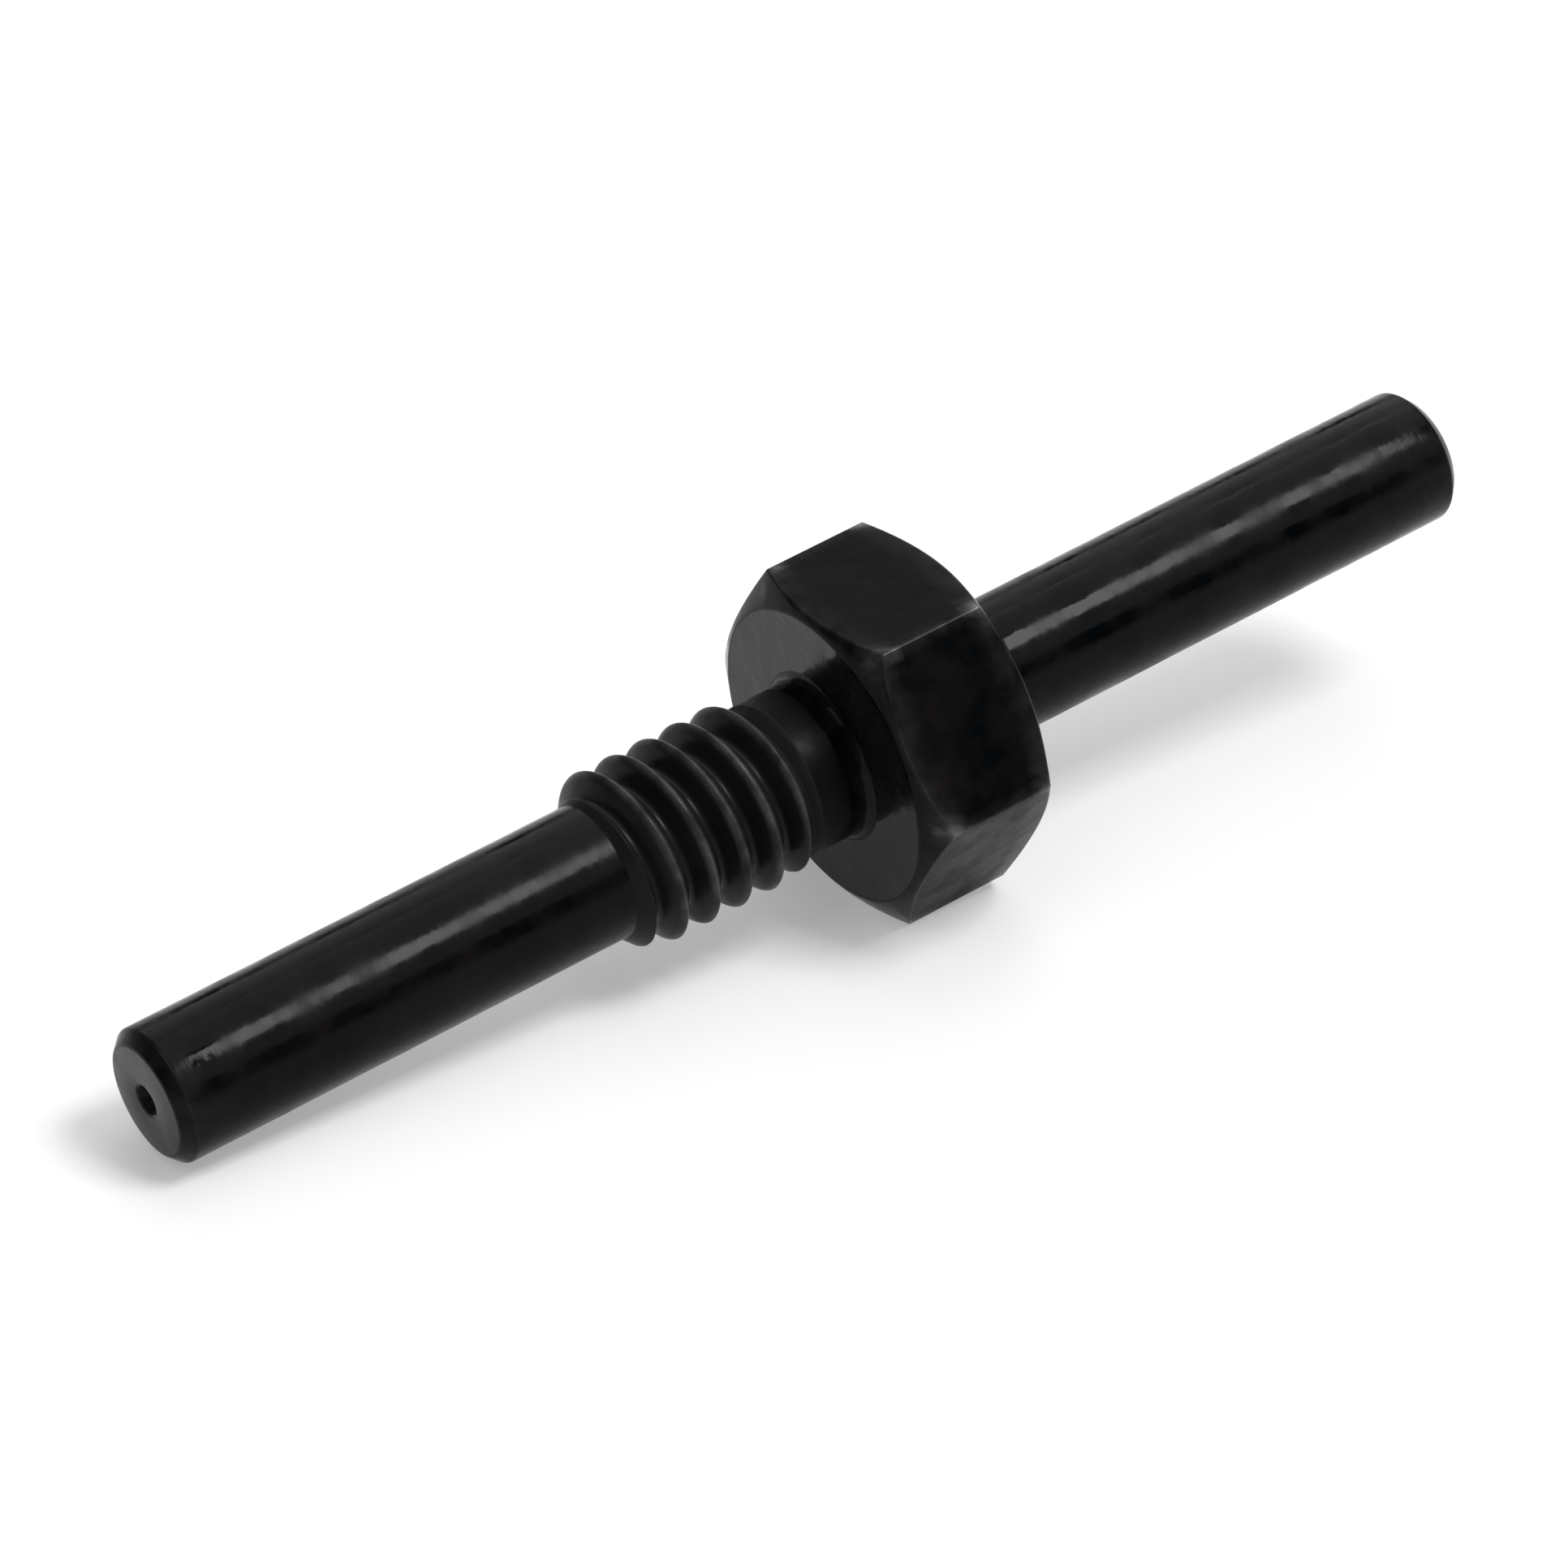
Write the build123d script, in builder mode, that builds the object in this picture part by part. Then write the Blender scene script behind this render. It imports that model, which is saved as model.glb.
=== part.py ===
from build123d import *
import math
import os

# Threaded hinge pin, turned from one length of hexagon bar, in millimetres.
# The axis is X, the hexagon lies on one of its flats, and +Z is up.
# The origin is on the axis, in the seating face of the hexagon collar:
# the thread and the thread-side pin run to -X, and the free pin to +X.

# Thread: 1/4-20 UNC, with flanks at 60 degrees to each other.
thread_diameter = 6.35
thread_pitch = 25.4 / 20
flank_angle = 30.0
thread_length = 6.75
lead_in_turns = 1.65
run_out_length = 0.32
run_out_slope = 0.65

# Plain neck between the thread and the collar.
neck_length = 2.4

# Two plain pins, which run in 3/16 inch holes and are thinner than the thread's root.
pin_diameter = 4.72
threaded_side_length = 17.25
free_side_length = 20.1
pin_end_chamfer = 0.4

# Collar: 7/16 inch hexagon, chamfered at both ends.
collar_across_flats = 11.1125
collar_thickness = 5.2
collar_chamfer_angle = 30.0
collar_face_diameter = 10.6
corner_fillet = 0.3

# Centre hole that the tailstock left in the thread-side end.
centre_mouth_diameter = 1.1
centre_pilot_diameter = 0.6
centre_pilot_length = 0.7
drill_point_angle = 59.0

# How far the cutting shapes reach past what they cut.
overshoot = 0.08

# Groove between the thread's crests. Its depth and the neck's radius are set out
# from the height of the sharp triangle on which a 60 degree thread is drawn.
triangle_height = thread_pitch * math.cos(math.radians(flank_angle))
crest_width = thread_pitch / 8
groove_depth = triangle_height * 17 / 24
flank_slope = math.tan(math.radians(flank_angle))

thread_radius = thread_diameter / 2
root_radius = thread_radius - groove_depth
neck_radius = thread_radius - triangle_height * 3 / 8
pin_radius = pin_diameter / 2
collar_face_radius = collar_face_diameter / 2
collar_corner_radius = collar_across_flats / 2 / math.cos(math.radians(30))
groove_top_half = (thread_pitch - crest_width) / 2 + overshoot * flank_slope
groove_root_half = (thread_pitch - crest_width) / 2 - groove_depth * flank_slope

# Stations along the axis, from the thread-side end to the free end.
thread_end_x = -neck_length
thread_start_x = thread_end_x - thread_length
left_end_x = thread_start_x - threaded_side_length
right_end_x = collar_thickness + free_side_length

# The groove starts before the thread, and fades out on a cone by the neck.
groove_start_x = thread_start_x - lead_in_turns * thread_pitch
groove_turns = math.ceil(lead_in_turns + (thread_length + run_out_length) / thread_pitch)
run_out_start_x = thread_end_x - run_out_length
run_out_start_radius = root_radius - overshoot
run_out_end_radius = run_out_start_radius - run_out_start_x * run_out_slope

with BuildPart() as collar:
    with BuildSketch(Plane.YZ):
        RegularPolygon(collar_across_flats / 2, 6, major_radius=False)
    extrude(amount=collar_thickness)
    # A double cone trims the six corners at both faces.
    corner_drop = collar_corner_radius + overshoot - collar_face_radius
    cone_depth = corner_drop * math.tan(math.radians(collar_chamfer_angle))
    with BuildSketch(Plane.XZ):
        with BuildLine():
            Polyline(
                (0, 0),
                (0, collar_face_radius),
                (cone_depth, collar_face_radius + corner_drop),
                (collar_thickness - cone_depth, collar_face_radius + corner_drop),
                (collar_thickness, collar_face_radius),
                (collar_thickness, 0),
                close=True,
            )
        make_face()
    revolve(axis=Axis.X, mode=Mode.INTERSECT)

with BuildPart() as groove_turn:
    # One turn of the groove: a trapezoid swept along a right-hand helix.
    with BuildLine():
        turn_path = Helix(
            pitch=thread_pitch,
            height=thread_pitch,
            radius=thread_radius,
            center=(groove_start_x, 0, 0),
            direction=(1, 0, 0),
        )
    with BuildSketch(Plane.XZ):
        with BuildLine():
            Polyline(
                (groove_start_x - groove_top_half, thread_radius + overshoot),
                (groove_start_x - groove_root_half, root_radius),
                (groove_start_x + groove_root_half, root_radius),
                (groove_start_x + groove_top_half, thread_radius + overshoot),
                close=True,
            )
        make_face()
    sweep(path=turn_path, is_frenet=True)

with BuildPart() as groove:
    # Equal turns, end to end, from before the thread to past its end.
    for turn in range(groove_turns):
        with Locations((turn * thread_pitch, 0, 0)):
            add(groove_turn.part)
    # A cone that widens towards the collar ends them, so the groove fades out.
    with BuildSketch(Plane.XZ):
        with BuildLine():
            Polyline(
                (run_out_start_x, 0),
                (run_out_start_x, run_out_start_radius),
                (0, run_out_end_radius),
                (thread_pitch, run_out_end_radius),
                (thread_pitch, 0),
                close=True,
            )
        make_face()
    revolve(axis=Axis.X, mode=Mode.SUBTRACT)

with BuildPart() as hinge_pin:
    # Turned body, with the thread still plain at its full diameter. The thread
    # has 45 degree slopes at both ends.
    with BuildSketch(Plane.XZ):
        with BuildLine():
            Polyline(
                (left_end_x, 0),
                (left_end_x, pin_radius),
                (thread_start_x, pin_radius),
                (thread_start_x + thread_radius - pin_radius, thread_radius),
                (thread_end_x - thread_radius + neck_radius, thread_radius),
                (thread_end_x, neck_radius),
                (collar_thickness / 2, neck_radius),
                (collar_thickness / 2, pin_radius),
                (right_end_x, pin_radius),
                (right_end_x, 0),
                close=True,
            )
        make_face()
    revolve(axis=Axis.X)
    add(collar.part)
    add(groove.part, mode=Mode.SUBTRACT)

    # Small fillets where the neck and the free pin meet the collar.
    rims = hinge_pin.edges().filter_by(GeomType.CIRCLE)
    neck_rim = rims.filter_by_position(Axis.X, 0, 0).sort_by(SortBy.RADIUS)[0]
    free_rim = rims.filter_by_position(
        Axis.X, collar_thickness, collar_thickness
    ).sort_by(SortBy.RADIUS)[0]
    fillet([neck_rim, free_rim], corner_fillet)

    # Chamfers round both ends.
    end_rims = rims.sort_by(Axis.X)
    chamfer([end_rims[0], end_rims[-1]], pin_end_chamfer)

    # Centre hole: a 60 degree countersink, a pilot and the drill's point.
    centre_cone_depth = (centre_mouth_diameter - centre_pilot_diameter) / 2 / flank_slope
    pilot_end_x = left_end_x + centre_cone_depth + centre_pilot_length
    point_depth = centre_pilot_diameter / 2 / math.tan(math.radians(drill_point_angle))
    with BuildSketch(Plane.XZ):
        with BuildLine():
            Polyline(
                (left_end_x, 0),
                (left_end_x, centre_mouth_diameter / 2),
                (left_end_x + centre_cone_depth, centre_pilot_diameter / 2),
                (pilot_end_x, centre_pilot_diameter / 2),
                (pilot_end_x + point_depth, 0),
                close=True,
            )
        make_face()
    revolve(axis=Axis.X, mode=Mode.SUBTRACT)

hinge_pin.part.label = "hinge_pin"

os.makedirs("parts", exist_ok=True)
export_step(hinge_pin.part, "parts/hinge_pin.step")
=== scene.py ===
import bmesh
import bpy
import math
from mathutils import Matrix, Vector


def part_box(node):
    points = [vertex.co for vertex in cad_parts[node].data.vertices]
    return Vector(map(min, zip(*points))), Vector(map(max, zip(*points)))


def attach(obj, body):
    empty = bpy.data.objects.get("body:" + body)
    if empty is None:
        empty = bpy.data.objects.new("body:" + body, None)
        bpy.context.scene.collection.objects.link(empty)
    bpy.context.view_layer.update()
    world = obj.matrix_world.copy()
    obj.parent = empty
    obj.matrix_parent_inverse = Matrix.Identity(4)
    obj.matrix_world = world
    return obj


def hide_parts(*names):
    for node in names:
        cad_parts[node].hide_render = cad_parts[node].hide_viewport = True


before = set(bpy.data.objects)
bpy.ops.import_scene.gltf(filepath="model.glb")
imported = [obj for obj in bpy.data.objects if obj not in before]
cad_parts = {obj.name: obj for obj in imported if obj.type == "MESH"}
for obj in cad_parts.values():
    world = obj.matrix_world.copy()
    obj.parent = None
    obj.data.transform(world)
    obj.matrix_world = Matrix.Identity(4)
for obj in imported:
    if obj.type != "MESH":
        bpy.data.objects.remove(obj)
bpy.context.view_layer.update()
pinLow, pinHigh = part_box("hinge_pin")
print("frame loaded")

mm = 0.001  # metres
nearly = 0.0001  # millimetres, between places that count as the same

# A threaded hinge pin turned from hexagon bar. The axis is X, the origin is in the
# collar's seating face, and the thread side runs to -X. All sizes are in millimetres.
pinSizes = {
    "columns": 96,  # vertices round the axis, a multiple of 6
    "pinDiameter": 4.72,
    "endChamfer": 0.4,
    "pinRingSpacing": 2.2,  # rings along the plain pins
    "endRingShare": 0.4,  # of the pin's radius, for a ring in the free end's face
    "threadDiameter": 6.35,
    "threadPitch": 25.4 / 20,
    "flankAngle": 30,  # degrees, half the angle between the thread's flanks
    "threadLength": 6.75,
    "leadInTurns": 1.65,  # turns of the groove before the thread starts
    "runOutLength": 0.32,  # where the groove fades out by the neck
    "runOutSlope": 0.65,
    "runOutUndercut": 0.08,  # how far below the root that starts
    "threadRows": 40,  # rows of the mesh in one pitch
    "threadRingGap": 0.04,  # from the thread's start to the pin's last ring
    "neckLength": 2.4,
    "fineCutLength": 0.5,  # the neck's last stretch, which the tool left smoother
    "fineCutBlend": 0.1,
    "collarThickness": 5.2,
    "collarFaceDiameter": 10.6,
    "collarChamferAngle": 30,
    "collarRings": 5,
    "collarFillet": 0.3,
    "filletSteps": 4,
    "mouthDiameter": 1.1,  # centre hole, with both its angles taken from the axis
    "mouthAngle": 30,
    "pilotDiameter": 0.6,
    "pilotLength": 0.7,
    "drillPointAngle": 59,
    "crestSoftness": 0.28,  # how far the thread's crests, roots and slopes are eased
    "rootSoftness": 0.12,
    "slopeSoftness": 0.05,
    "edgeRadius": 0.07,  # turned edges, and the corners of the hexagon
    "edgeSegments": 3,
    "sharpAngle": 24,  # degrees between faces, from which an edge is rounded
    "normalWeight": 60,  # how strongly the larger faces set the shading
}
surfaceSlots = ["turned", "drawn", "faced", "threaded"]  # one material each

leftEnd = pinLow.x / mm
rightEnd = pinHigh.x / mm
apothem = (pinHigh.z - pinLow.z) / mm / 2  # of the hexagon
cornerRadius = apothem / math.cos(math.pi / 6)

# The groove's depth and the neck's radius are set out from the height of the sharp
# triangle on which a 60 degree thread is drawn.
triangleHeight = pinSizes["threadPitch"] * math.cos(math.radians(pinSizes["flankAngle"]))
neckRadius = pinSizes["threadDiameter"] / 2 - triangleHeight * 3 / 8


def softMin(a, b, reach):
    overlap = max(reach - abs(a - b), 0) / reach
    return min(a, b) - overlap * overlap * reach / 4


def softMax(a, b, reach):
    return -softMin(-a, -b, reach)


def ringPoint(x, angle, radius):
    return Vector((x, radius * math.cos(angle), radius * math.sin(angle)))


def makeThreadShape(sizes):
    # Returns radius(x, angle) for everything between the plain pin and the neck.
    pitch = sizes["threadPitch"]
    outer = sizes["threadDiameter"] / 2
    pinRadius = sizes["pinDiameter"] / 2
    threadEnd = -sizes["neckLength"]
    threadStart = threadEnd - sizes["threadLength"]
    root = outer - triangleHeight * 17 / 24
    grooveHalf = pitch * 7 / 16  # half the groove's width at the crests
    flankSlope = math.tan(math.radians(sizes["flankAngle"]))
    runOutStart = threadEnd - sizes["runOutLength"]
    runOutRadius = root - sizes["runOutUndercut"]
    runOutSlope = sizes["runOutSlope"]
    slopeSoftness = sizes["slopeSoftness"]

    def radius(x, angle):
        turned = (angle - math.pi / 2) / (2 * math.pi)  # the groove starts on top
        turn = (x - threadStart) / pitch + sizes["leadInTurns"] - turned
        fromGroove = abs(turn - round(turn)) * pitch
        flank = outer - (grooveHalf - fromGroove) / flankSlope
        cut = softMax(softMin(outer, flank, sizes["crestSoftness"]), root, sizes["rootSoftness"])
        runOut = runOutRadius + (x - runOutStart) * runOutSlope
        if x > runOutStart - slopeSoftness:
            cut = softMax(cut, runOut, slopeSoftness)
        endSlope = max(neckRadius, neckRadius + threadEnd - x)
        body = min(pinRadius + x - threadStart, outer, endSlope)
        return softMin(body, cut, slopeSoftness)

    lastX = runOutStart + (neckRadius + slopeSoftness - runOutRadius) / runOutSlope
    return radius, threadStart, lastX


def addRing(mesh, radiusAndX, columns):
    # radiusAndX(angle) gives the radius and the station of each vertex of the ring.
    ring = []
    for column in range(columns):
        angle = 2 * math.pi * column / columns
        radius, x = radiusAndX(angle)
        ring.append(mesh.verts.new(ringPoint(x, angle, radius) * mm))
    return ring


def roundRing(mesh, x, radius, columns):
    return addRing(mesh, lambda angle: (radius, x), columns)


def joinRings(mesh, first, second, surface="turned"):
    for column in range(len(first)):
        after = (column + 1) % len(first)
        face = mesh.faces.new((first[column], first[after], second[after], second[column]))
        face.material_index = surfaceSlots.index(surface)


def closeRing(mesh, ring, x, surface="turned"):
    # Closes a ring with a fan to a point on the axis.
    tip = mesh.verts.new(Vector((x, 0, 0)) * mm)
    for column in range(len(ring)):
        after = (column + 1) % len(ring)
        face = mesh.faces.new((ring[column], ring[after], tip))
        face.material_index = surfaceSlots.index(surface)


def stationsBetween(start, end, spacing):
    count = max(1, round(abs(end - start) / spacing))
    return [start + (end - start) * step / count for step in range(1, count)]


def followProfile(mesh, sizes, ring, stations):
    # Adds a ring at each (x, radius). Two rings at one x are joined by a faced flat.
    for x, radius in stations:
        isFlat = abs(ring[0].co.x / mm - x) < nearly
        following = roundRing(mesh, x, radius, sizes["columns"])
        joinRings(mesh, ring, following, "faced" if isFlat else "turned")
        ring = following
    return ring


def filletStations(sizes, x, radius, direction):
    # A quarter circle between a cylinder and the collar's face at x.
    fillet = sizes["collarFillet"]
    steps = sizes["filletSteps"]
    points = []
    for step in range(steps + 1):
        turn = math.pi / 2 * step / steps
        along = x + direction * fillet * (1 - math.sin(turn))
        points.append((along, radius + fillet * (1 - math.cos(turn))))
    return points if direction < 0 else list(reversed(points))


def addThreadSidePin(mesh, sizes):
    # Starts at the drill's point in the centre hole, and comes out over the end face.
    pilotRadius = sizes["pilotDiameter"] / 2
    mouthRadius = sizes["mouthDiameter"] / 2
    mouthDepth = (mouthRadius - pilotRadius) / math.tan(math.radians(sizes["mouthAngle"]))
    pilotEnd = leftEnd + mouthDepth + sizes["pilotLength"]
    pointDepth = pilotRadius / math.tan(math.radians(sizes["drillPointAngle"]))
    ring = roundRing(mesh, pilotEnd, pilotRadius, sizes["columns"])
    closeRing(mesh, ring, pilotEnd + pointDepth)

    pinRadius = sizes["pinDiameter"] / 2
    chamfer = sizes["endChamfer"]
    threadStart = -sizes["neckLength"] - sizes["threadLength"]
    between = stationsBetween(leftEnd + chamfer, threadStart, sizes["pinRingSpacing"])
    # a ring close by keeps the thread's slope from bending the pin's shading
    between += [threadStart - sizes["threadRingGap"], threadStart]
    return followProfile(mesh, sizes, ring, [
        (leftEnd + mouthDepth, pilotRadius),
        (leftEnd, mouthRadius),
        (leftEnd, pinRadius - chamfer),
        (leftEnd + chamfer, pinRadius),
        *((x, pinRadius) for x in between),
    ])


def addThread(mesh, sizes, firstRing):
    # The thread's mesh follows the helix: each row is a line of constant phase, a
    # pitch further along after each turn, cut off square at both ends.
    radius, startX, endX = makeThreadShape(sizes)
    columns = sizes["columns"]
    rowsPerPitch = sizes["threadRows"]
    pitch = sizes["threadPitch"]
    lastRing = roundRing(mesh, endX, neckRadius, columns)
    rowCount = math.ceil((endX - startX) / pitch * rowsPerPitch) + rowsPerPitch + 1
    made = {}

    def vertexAt(row, column):
        if column == columns:
            row, column = row + rowsPerPitch, 0
        x = startX - pitch + (row / rowsPerPitch + column / columns) * pitch
        if x <= startX + nearly:
            return firstRing[column]
        if x >= endX - nearly:
            return lastRing[column]
        if (row, column) not in made:
            angle = 2 * math.pi * column / columns
            made[row, column] = mesh.verts.new(ringPoint(x, angle, radius(x, angle)) * mm)
        return made[row, column]

    for row in range(rowCount):
        for column in range(columns):
            corners = [
                vertexAt(row, column),
                vertexAt(row, column + 1),
                vertexAt(row + 1, column + 1),
                vertexAt(row + 1, column),
            ]
            distinct = [v for i, v in enumerate(corners) if v != corners[i - 1]]
            if len(set(distinct)) > 2:
                mesh.faces.new(distinct).material_index = surfaceSlots.index("threaded")
    return lastRing


def addNeck(mesh, sizes, ring):
    fineCutX = -sizes["collarFillet"] - sizes["fineCutLength"]
    return followProfile(mesh, sizes, ring, [
        (fineCutX - sizes["fineCutBlend"], neckRadius),
        (fineCutX, neckRadius),
        *filletStations(sizes, 0, neckRadius, -1),
    ])


def addCollar(mesh, sizes, faceRing):
    # Hexagon bar with its corners cut by a cone at both ends.
    columns = sizes["columns"]
    thickness = sizes["collarThickness"]
    faceRadius = sizes["collarFaceDiameter"] / 2
    slope = math.tan(math.radians(sizes["collarChamferAngle"]))

    def barRadius(angle):
        fromCorner = (angle + math.pi / 6) % (math.pi / 3) - math.pi / 6
        return apothem / math.cos(math.pi / 6 - abs(fromCorner))

    def chamferDepth(angle):
        return (barRadius(angle) - faceRadius) * slope

    ring = roundRing(mesh, 0, faceRadius, columns)
    joinRings(mesh, faceRing, ring, "faced")
    steps = sizes["collarRings"]
    for step in range(steps + 1):
        share = step / steps

        def place(angle):
            start = chamferDepth(angle)
            return barRadius(angle), start + (thickness - 2 * start) * share

        following = addRing(mesh, place, columns)
        joinRings(mesh, ring, following, "turned" if step == 0 else "drawn")
        ring = following
    following = roundRing(mesh, thickness, faceRadius, columns)
    joinRings(mesh, ring, following)
    return following


def addFreePin(mesh, sizes, ring):
    pinRadius = sizes["pinDiameter"] / 2
    start = sizes["collarThickness"]
    end = rightEnd - sizes["endChamfer"]
    between = stationsBetween(start + sizes["collarFillet"], end, sizes["pinRingSpacing"])
    ring = followProfile(mesh, sizes, ring, [
        *filletStations(sizes, start, pinRadius, 1),
        *((x, pinRadius) for x in between),
        (end, pinRadius),
        (rightEnd, pinRadius - sizes["endChamfer"]),
        (rightEnd, pinRadius * sizes["endRingShare"]),
    ])
    closeRing(mesh, ring, rightEnd, "faced")


def makePin(sizes):
    # The rings follow one another from the centre hole to the free end.
    mesh = bmesh.new()
    ring = addThreadSidePin(mesh, sizes)
    ring = addThread(mesh, sizes, ring)
    ring = addNeck(mesh, sizes, ring)
    ring = addCollar(mesh, sizes, ring)
    addFreePin(mesh, sizes, ring)
    bmesh.ops.recalc_face_normals(mesh, faces=mesh.faces)
    return mesh


def easeEdges(mesh, sizes):
    # Rounds the sharp edges outside the thread, which is eased by its own formula.
    startX = -sizes["neckLength"] - sizes["threadLength"]
    endX = -sizes["neckLength"] / 2  # the groove runs out in the neck's first half
    sharp = []
    for edge in mesh.edges:
        x = (edge.verts[0].co.x + edge.verts[1].co.x) / 2 / mm
        inThread = startX - nearly < x < endX
        if not inThread and edge.is_manifold:
            if math.degrees(edge.calc_face_angle_signed()) > sizes["sharpAngle"]:
                sharp.append(edge)
    bmesh.ops.bevel(
        mesh,
        geom=sharp,
        offset=sizes["edgeRadius"] * mm,
        offset_type="OFFSET",
        segments=sizes["edgeSegments"],
        profile=0.5,  # round
        affect="EDGES",
        clamp_overlap=True,
    )


# Oiled black oxide on steel. The groups work in millimetres of the pin's own frame.
finishValues = {
    "coolBlack": (0.0003, 0.0009, 0.0015),
    "warmBlack": (0.0046, 0.0038, 0.0034),
    "bareSteel": (0.22, 0.215, 0.21),
    # each noise has its scale per millimetre; the patches are thicker and thinner oil
    "patches": {"Scale": 0.55, "Detail": 3, "Roughness": 0.6},
    "patchContrast": (0.35, 0.65),
    "patchHeight": 0.03,  # millimetres
    "patchRoughness": (-0.1, 0.15),  # added from patch to patch
    "grain": {"Scale": 11, "Detail": 2, "Roughness": 0.5},
    "grainHeight": 0.0006,
    "grainRoughness": (-0.03, 0.03),
    "roughness": 0.17,
    "rawRoughness": 0.47,  # where the cut is raw
    "latheLines": {"Scale": 7, "Detail": 2, "Roughness": 0.6},
    "latheFaceLines": 0.73,  # how close the lines on faces are, with rounds as 1
    "drawnLines": {"Scale": 1, "Detail": 2, "Roughness": 0.55},
    "drawnStretch": (0.12, 9, 9),  # lines per millimetre along and across the bar
    "edgeWear": 0.35,  # how readily handling rubs each place, and how far that reaches
    "edgeFolds": (6, 20),  # degrees at which an edge starts to wear and wears in full
    "crestWear": 0.9,
    "crestReach": 0.22,
    "filletWear": 0.12,
    "cornerWear": 2.4,
    "cornerReach": 0.6,
    "wear": {"Scale": 1.1, "Detail": 3, "Roughness": 0.5},
    "wearContrast": (0.35, 0.75),
    "wearSteel": (0.08, 0.48),  # bare steel that shows where the wear is light and heavy
}

# What sets the four surfaces apart: the tool marks and their depth in millimetres,
# roughness added, level of the reflection, grey added to the black, and bare steel
# that shows all over.
surfaceValues = {
    "turned": {
        "marks": "lathe", "depth": 0.0016, "rougher": 0,
        "specular": 0.074, "grey": 0, "bare": 0,
    },
    "drawn": {
        "marks": "drawn", "depth": 0.001, "rougher": 0.1,
        "specular": 0.033, "grey": 0.001, "bare": 0,
    },
    "faced": {
        "marks": "lathe", "depth": 0.0016, "rougher": 0,
        "specular": 0.19, "grey": 0, "bare": 0.03,
    },
    "threaded": {
        "marks": "lathe", "depth": 0.0016, "rougher": 0.09,
        "specular": 0.062, "grey": 0.009, "bare": 0,
    },
}


def markSurface(mesh, sizes, finish):
    # Stores two values at each vertex: how readily handling rubs the surface there,
    # and how rough the tool left it.
    wearLayer = mesh.verts.layers.float.new("edgeWear")
    rawLayer = mesh.verts.layers.float.new("rawCut")
    fillet = sizes["collarFillet"]
    threadEnd = -sizes["neckLength"]
    threadStart = threadEnd - sizes["threadLength"]
    crestBase = sizes["threadDiameter"] / 2 - finish["crestReach"]
    slope = math.tan(math.radians(sizes["collarChamferAngle"]))
    cornerDepth = (cornerRadius - sizes["collarFaceDiameter"] / 2) * slope
    corners = [
        ringPoint(x, turn * math.pi / 3, cornerRadius)
        for x in (cornerDepth, sizes["collarThickness"] - cornerDepth)
        for turn in range(6)
    ]
    foldStart, foldFull = finish["edgeFolds"]
    for vertex in mesh.verts:
        place = vertex.co / mm
        radius = place.yz.length
        raw = 0
        if threadStart < place.x < threadEnd:
            wear = (radius - crestBase) / finish["crestReach"] * finish["crestWear"]
        elif threadEnd <= place.x <= 0 and radius < neckRadius + fillet - nearly:
            wear = finish["filletWear"] if place.x > -fillet - nearly else 0
            raw = 1 if place.x < -fillet - sizes["fineCutLength"] - nearly else 0
        else:
            fold = max(math.degrees(edge.calc_face_angle_signed()) for edge in vertex.link_edges)
            wear = min((fold - foldStart) / (foldFull - foldStart), 1) * finish["edgeWear"]
            fromCorner = min((place - corner).length for corner in corners)
            cornerWear = (1 - fromCorner / finish["cornerReach"]) * finish["cornerWear"]
            wear = max(wear, cornerWear)
        vertex[wearLayer] = max(wear, 0)
        vertex[rawLayer] = raw


def addNode(tree, kind, inputs=None, **settings):
    # Adds a node; each input is a value or the socket that feeds it.
    node = tree.nodes.new("ShaderNode" + kind)
    for name, value in settings.items():
        setattr(node, name, value)
    for name, value in (inputs or {}).items():
        if isinstance(value, bpy.types.NodeSocket):
            tree.links.new(value, node.inputs[name])
        else:
            node.inputs[name].default_value = value
    return node


def addMath(tree, operation, first, second):
    return addNode(tree, "Math", {0: first, 1: second}, operation=operation).outputs[0]


def addNoise(tree, look, **settings):
    return addNode(tree, "TexNoise", look, **settings).outputs[0]


def addMix(tree, share, first, second):
    inputs = {0: share, 6: first, 7: second}
    return addNode(tree, "Mix", inputs, data_type="RGBA").outputs[2]


def spread(tree, value, wanted, given=(0, 1)):
    # Maps the given range onto the wanted one, and stays inside it.
    inputs = {
        "Value": value,
        "From Min": given[0], "From Max": given[1],
        "To Min": wanted[0], "To Max": wanted[1],
    }
    return addNode(tree, "MapRange", inputs).outputs[0]


def inMillimetres(tree):
    place = addNode(tree, "TexCoord").outputs["Object"]
    inputs = {0: place, "Scale": 1 / mm}
    return addNode(tree, "VectorMath", inputs, operation="SCALE").outputs[0]


def makeGroup(name, inputs, outputs):
    # The inputs are numbers; outputs gives the kind of each output.
    tree = bpy.data.node_groups.new(name, "ShaderNodeTree")
    for label in inputs:
        tree.interface.new_socket(label, in_out="INPUT", socket_type="NodeSocketFloat")
    for label, kind in outputs.items():
        tree.interface.new_socket(label, in_out="OUTPUT", socket_type="NodeSocket" + kind)
    return tree, tree.nodes.new("NodeGroupInput").outputs, tree.nodes.new("NodeGroupOutput").inputs


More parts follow.
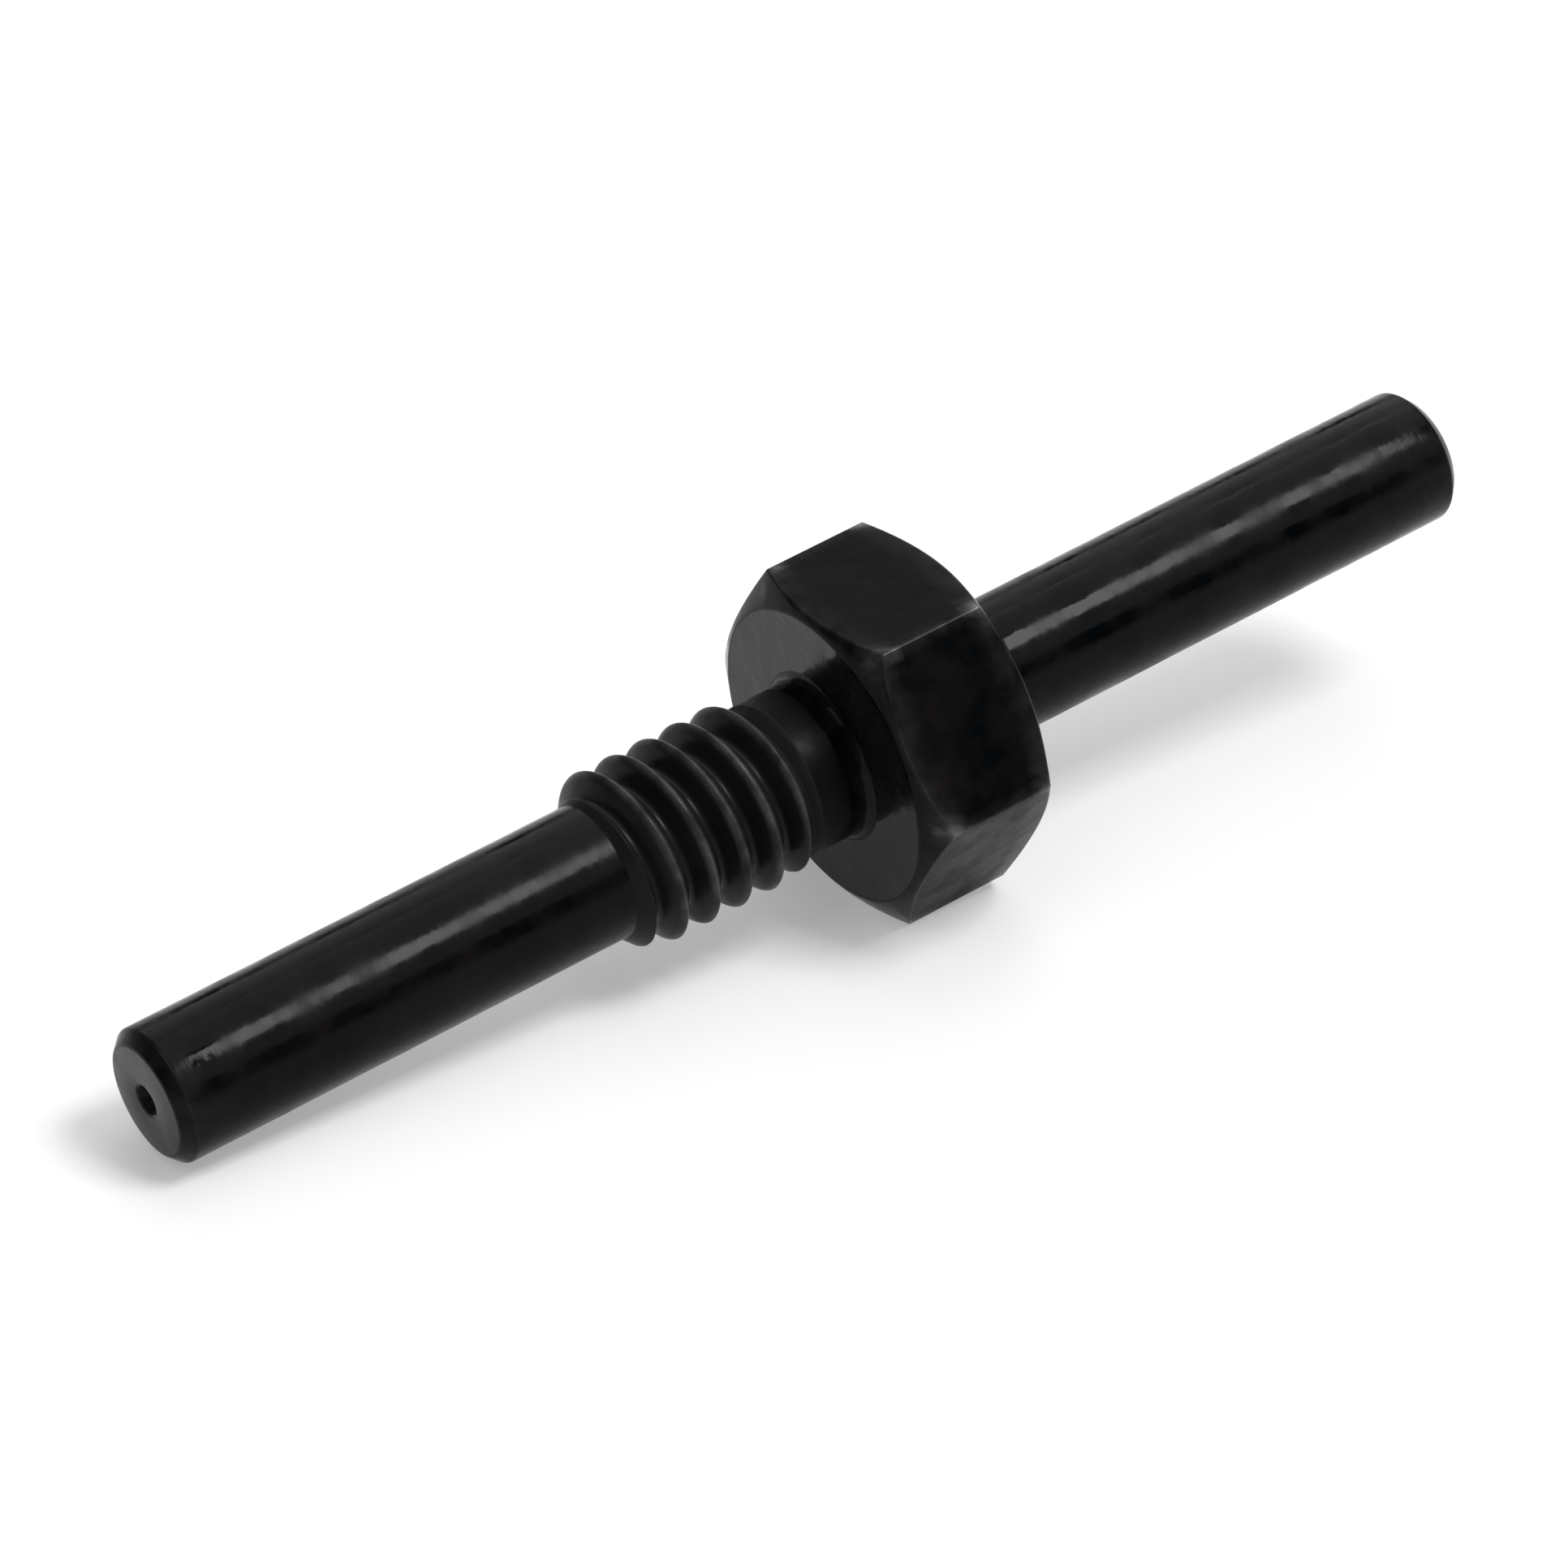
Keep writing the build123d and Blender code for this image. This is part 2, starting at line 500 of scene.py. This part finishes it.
def makeOxideGroup(finish):
    # Colour, roughness and unevenness of the oiled oxide.
    outputs = {"Color": "Color", "Roughness": "Float", "Height": "Float"}
    tree, given, result = makeGroup("oiledOxide", ["Rougher", "Grey"], outputs)
    place = inMillimetres(tree)
    patches = addNoise(tree, {"Vector": place, **finish["patches"]})
    grain = addNoise(tree, {"Vector": place, **finish["grain"]})
    share = spread(tree, patches, (0, 1), finish["patchContrast"])
    color = addMix(tree, share, (*finish["coolBlack"], 1), (*finish["warmBlack"], 1))
    grey = addNode(tree, "VectorMath", {0: color, 1: given["Grey"]}, operation="ADD")
    raw = addNode(tree, "Attribute", attribute_name="rawCut").outputs["Fac"]
    rough = spread(tree, raw, (finish["roughness"], finish["rawRoughness"]))
    rough = addMath(tree, "ADD", rough, spread(tree, share, finish["patchRoughness"]))
    rough = addMath(tree, "ADD", rough, spread(tree, grain, finish["grainRoughness"]))
    patchHeight = addMath(tree, "MULTIPLY", patches, finish["patchHeight"])
    grainHeight = addMath(tree, "MULTIPLY", grain, finish["grainHeight"])
    tree.links.new(grey.outputs[0], result["Color"])
    tree.links.new(addMath(tree, "ADD", rough, given["Rougher"]), result["Roughness"])
    tree.links.new(addMath(tree, "ADD", patchHeight, grainHeight), result["Height"])
    return tree


def makeLatheGroup(finish):
    # Rings left by the lathe tool, along the axis on rounds and outwards on faces.
    tree, given, result = makeGroup("latheMarks", ["Depth"], {"Height": "Float"})
    axes = addNode(tree, "SeparateXYZ", {0: inMillimetres(tree)}).outputs
    across = addNode(tree, "CombineXYZ", {"Y": axes["Y"], "Z": axes["Z"]}).outputs[0]
    radius = addNode(tree, "VectorMath", {0: across}, operation="LENGTH").outputs["Value"]
    outward = addMath(tree, "MULTIPLY", radius, finish["latheFaceLines"])
    travel = addMath(tree, "ADD", axes["X"], outward)
    lines = addNoise(tree, {"W": travel, **finish["latheLines"]}, noise_dimensions="1D")
    tree.links.new(addMath(tree, "MULTIPLY", lines, given["Depth"]), result["Height"])
    return tree


def makeDrawnGroup(finish):
    # Fine lines that drawing leaves along the bar.
    tree, given, result = makeGroup("drawnMarks", ["Depth"], {"Height": "Float"})
    inputs = {0: inMillimetres(tree), 1: finish["drawnStretch"]}
    place = addNode(tree, "VectorMath", inputs, operation="MULTIPLY").outputs[0]
    lines = addNoise(tree, {"Vector": place, **finish["drawnLines"]})
    tree.links.new(addMath(tree, "MULTIPLY", lines, given["Depth"]), result["Height"])
    return tree


def makeWearGroup(finish):
    # How much bare steel handling has laid open on edges, crests and corners.
    tree, given, result = makeGroup("rubbedEdges", ["Bare"], {"Mask": "Float"})
    edge = addNode(tree, "Attribute", attribute_name="edgeWear").outputs["Fac"]
    broken = addNoise(tree, {"Vector": inMillimetres(tree), **finish["wear"]})
    broken = spread(tree, broken, finish["wearSteel"], finish["wearContrast"])
    rubbed = addMath(tree, "MULTIPLY", edge, broken)
    tree.links.new(addMath(tree, "ADD", rubbed, given["Bare"]), result["Mask"])
    return tree


def makeSurface(name, finish, surface, oxideGroup, markGroup, wearGroup):
    material = bpy.data.materials.new(name + "Black")
    material.use_nodes = True
    tree = material.node_tree
    shader = tree.nodes["Principled BSDF"]

    inputs = {"Rougher": surface["rougher"], "Grey": surface["grey"]}
    oxide = addNode(tree, "Group", inputs, node_tree=oxideGroup).outputs
    marks = addNode(tree, "Group", {"Depth": surface["depth"]}, node_tree=markGroup).outputs
    wear = addNode(tree, "Group", {"Bare": surface["bare"]}, node_tree=wearGroup).outputs

    color = addMix(tree, wear["Mask"], oxide["Color"], (*finish["bareSteel"], 1))
    height = addMath(tree, "ADD", marks["Height"], oxide["Height"])
    bump = addNode(tree, "Bump", {"Height": height, "Distance": mm})
    tree.links.new(color, shader.inputs["Base Color"])
    tree.links.new(wear["Mask"], shader.inputs["Metallic"])
    tree.links.new(oxide["Roughness"], shader.inputs["Roughness"])
    tree.links.new(bump.outputs[0], shader.inputs["Normal"])
    shader.inputs["Specular IOR Level"].default_value = surface["specular"]
    return material


pinMesh = makePin(pinSizes)
easeEdges(pinMesh, pinSizes)
markSurface(pinMesh, pinSizes, finishValues)
print("pin mesh:", len(pinMesh.verts), "vertices,", len(pinMesh.faces), "faces")

pinData = bpy.data.meshes.new("turnedPin")
pinMesh.to_mesh(pinData)
pinMesh.free()
pinData.shade_smooth()
turnedPin = bpy.data.objects.new("turnedPin", pinData)
bpy.context.scene.collection.objects.link(turnedPin)
normals = turnedPin.modifiers.new("evenNormals", "WEIGHTED_NORMAL")
normals.weight = pinSizes["normalWeight"]
normals.keep_sharp = False

oxideGroup = makeOxideGroup(finishValues)
wearGroup = makeWearGroup(finishValues)
markGroups = {"lathe": makeLatheGroup(finishValues), "drawn": makeDrawnGroup(finishValues)}
for name in surfaceSlots:
    surface = surfaceValues[name]
    markGroup = markGroups[surface["marks"]]
    material = makeSurface(name, finishValues, surface, oxideGroup, markGroup, wearGroup)
    pinData.materials.append(material)

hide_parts("hinge_pin")
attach(turnedPin, "root")
print("pin finished")


# The stage is a pale floor, a plain world and five soft lamps.
stageValues = {
    "floorSize": 1.6,  # metres
    "floorColor": (0.66, 0.66, 0.66),
    "floorRoughness": 0.9,
    "floorGlow": 0.32,  # added where the camera and reflections see the floor
    "farGlow": 0.9,  # the same, away from the pin
    "glowFade": (0.1, 0.6),  # metres from the pin
    "worldHorizon": 1,
    "worldAbove": 0.14,
    "horizonFade": (0.02, 0.12),
}


def seenDirectly(tree):
    # 1 for camera, glossy and transmission rays, and 0 for the rest.
    path = addNode(tree, "LightPath").outputs
    either = addMath(tree, "MAXIMUM", path["Is Camera Ray"], path["Is Glossy Ray"])
    return addMath(tree, "MAXIMUM", either, path["Is Transmission Ray"])


def makeFloorMaterial(stage):
    material = bpy.data.materials.new("paleFloor")
    material.use_nodes = True
    tree = material.node_tree
    shader = tree.nodes["Principled BSDF"]
    shader.inputs["Base Color"].default_value = (*stage["floorColor"], 1)
    shader.inputs["Roughness"].default_value = stage["floorRoughness"]
    shader.inputs["Specular IOR Level"].default_value = 0
    shader.inputs["Emission Color"].default_value = (1, 1, 1, 1)
    place = addNode(tree, "TexCoord").outputs["Object"]
    away = addNode(tree, "VectorMath", {0: place}, operation="LENGTH").outputs["Value"]
    glow = spread(tree, away, (stage["floorGlow"], stage["farGlow"]), stage["glowFade"])
    glow = addMath(tree, "MULTIPLY", seenDirectly(tree), glow)
    tree.links.new(glow, shader.inputs["Emission Strength"])
    return material


def makeFloor(stage, sizes):
    # The pin leans on the edge of its collar and the tip of its thread side.
    slope = math.tan(math.radians(sizes["collarChamferAngle"]))
    edgeX = (apothem - sizes["collarFaceDiameter"] / 2) * slope
    collarEdge = Vector((edgeX, 0, -apothem)) * mm
    tipEdge = Vector((leftEnd + sizes["endChamfer"], 0, -sizes["pinDiameter"] / 2)) * mm
    along = (collarEdge - tipEdge).normalized()
    across = Vector((0, 1, 0))
    mesh = bmesh.new()
    half = stage["floorSize"] / 2
    corners = [
        mesh.verts.new(collarEdge + along * a * half + across * b * half)
        for a, b in ((-1, -1), (1, -1), (1, 1), (-1, 1))
    ]
    mesh.faces.new(corners)
    data = bpy.data.meshes.new("floor")
    mesh.to_mesh(data)
    mesh.free()
    data.materials.append(makeFloorMaterial(stage))
    floor = bpy.data.objects.new("floor", data)
    bpy.context.scene.collection.objects.link(floor)


def makeWorld(stage):
    # Pale round the horizon and dimmer above it, like a room behind a white table.
    world = bpy.data.worlds.new("studio")
    bpy.context.scene.world = world
    world.use_nodes = True
    tree = world.node_tree
    background = tree.nodes["Background"]
    background.inputs["Color"].default_value = (1, 1, 1, 1)
    toward = addNode(tree, "TexCoord").outputs["Generated"]
    height = addNode(tree, "SeparateXYZ", {0: toward}).outputs["Z"]
    levels = (stage["worldHorizon"], stage["worldAbove"])
    level = spread(tree, height, levels, stage["horizonFade"])
    tree.links.new(level, background.inputs["Strength"])


# Direction from the pin, distance and size along and across the pin in metres,
# turn in degrees, and radiance.
lampValues = {
    "keyBox": {
        "toward": (0.42, -0.37, 0.829), "distance": 0.9,
        "size": (0.34, 0.27), "turn": 14, "radiance": 17.5,
    },
    "topBox": {
        "toward": (0.42, 0.15, 0.895), "distance": 1,
        "size": (0.6, 0.8), "turn": 0, "radiance": 1.7,
    },
    "backBox": {
        "toward": (0.42, 0.72, 0.55), "distance": 1,
        "size": (0.7, 0.7), "turn": 0, "radiance": 1.25,
    },
    "frontBox": {
        "toward": (0.42, -0.66, 0.62), "distance": 1,
        "size": (0.6, 0.5), "turn": 0, "radiance": 1.2,
    },
    "sideBox": {
        "toward": (-0.38, -0.14, 0.91), "distance": 1,
        "size": (0.66, 0.5), "turn": 0, "radiance": 1.1,
    },
}


def makeLamp(name, values):
    toward = Vector(values["toward"]).normalized()
    data = bpy.data.lights.new(name, "AREA")
    data.shape = "RECTANGLE"
    data.size, data.size_y = values["size"]
    data.energy = values["radiance"] * math.pi * data.size * data.size_y
    lamp = bpy.data.objects.new(name, data)
    bpy.context.scene.collection.objects.link(lamp)
    # one side lies along the pin before the turn
    side = (Vector((1, 0, 0)) - toward * toward.x).normalized()
    facing = Matrix((side, toward.cross(side), toward)).transposed().to_4x4()
    turn = Matrix.Rotation(math.radians(values["turn"]), 4, "Z")
    lamp.matrix_world = Matrix.Translation(toward * values["distance"]) @ facing @ turn


makeFloor(stageValues, pinSizes)
makeWorld(stageValues)
for name, values in lampValues.items():
    makeLamp(name, values)
print("stage set")


# The camera looks at its aim from an azimuth and elevation, and rolls on that line.
cameraValues = {
    "aim": (-1.4, 0.32, -0.623),  # millimetres
    "distance": 258,
    "azimuth": -32.069,  # degrees
    "elevation": 37.175,
    "roll": 6.353,
    "lens": 180.41,
    "sensor": 36,
    "clip": (0.01, 10),  # metres
}


def makeCamera(values):
    data = bpy.data.cameras.new("camera")
    data.sensor_width = values["sensor"]
    data.lens = values["lens"]
    data.clip_start, data.clip_end = values["clip"]
    camera = bpy.data.objects.new("camera", data)
    bpy.context.scene.collection.objects.link(camera)
    azimuth = math.radians(values["azimuth"])
    elevation = math.radians(values["elevation"])
    back = Vector((
        math.sin(azimuth) * math.cos(elevation),
        -math.cos(azimuth) * math.cos(elevation),
        math.sin(elevation),
    ))
    place = (Vector(values["aim"]) + back * values["distance"]) * mm
    turn = (-back).to_track_quat("-Z", "Y").to_matrix().to_4x4()
    roll = Matrix.Rotation(math.radians(-values["roll"]), 4, "Z")
    camera.matrix_world = Matrix.Translation(place) @ turn @ roll
    bpy.context.scene.camera = camera


makeCamera(cameraValues)
bpy.context.scene.view_settings.view_transform = "Standard"
print("camera placed")
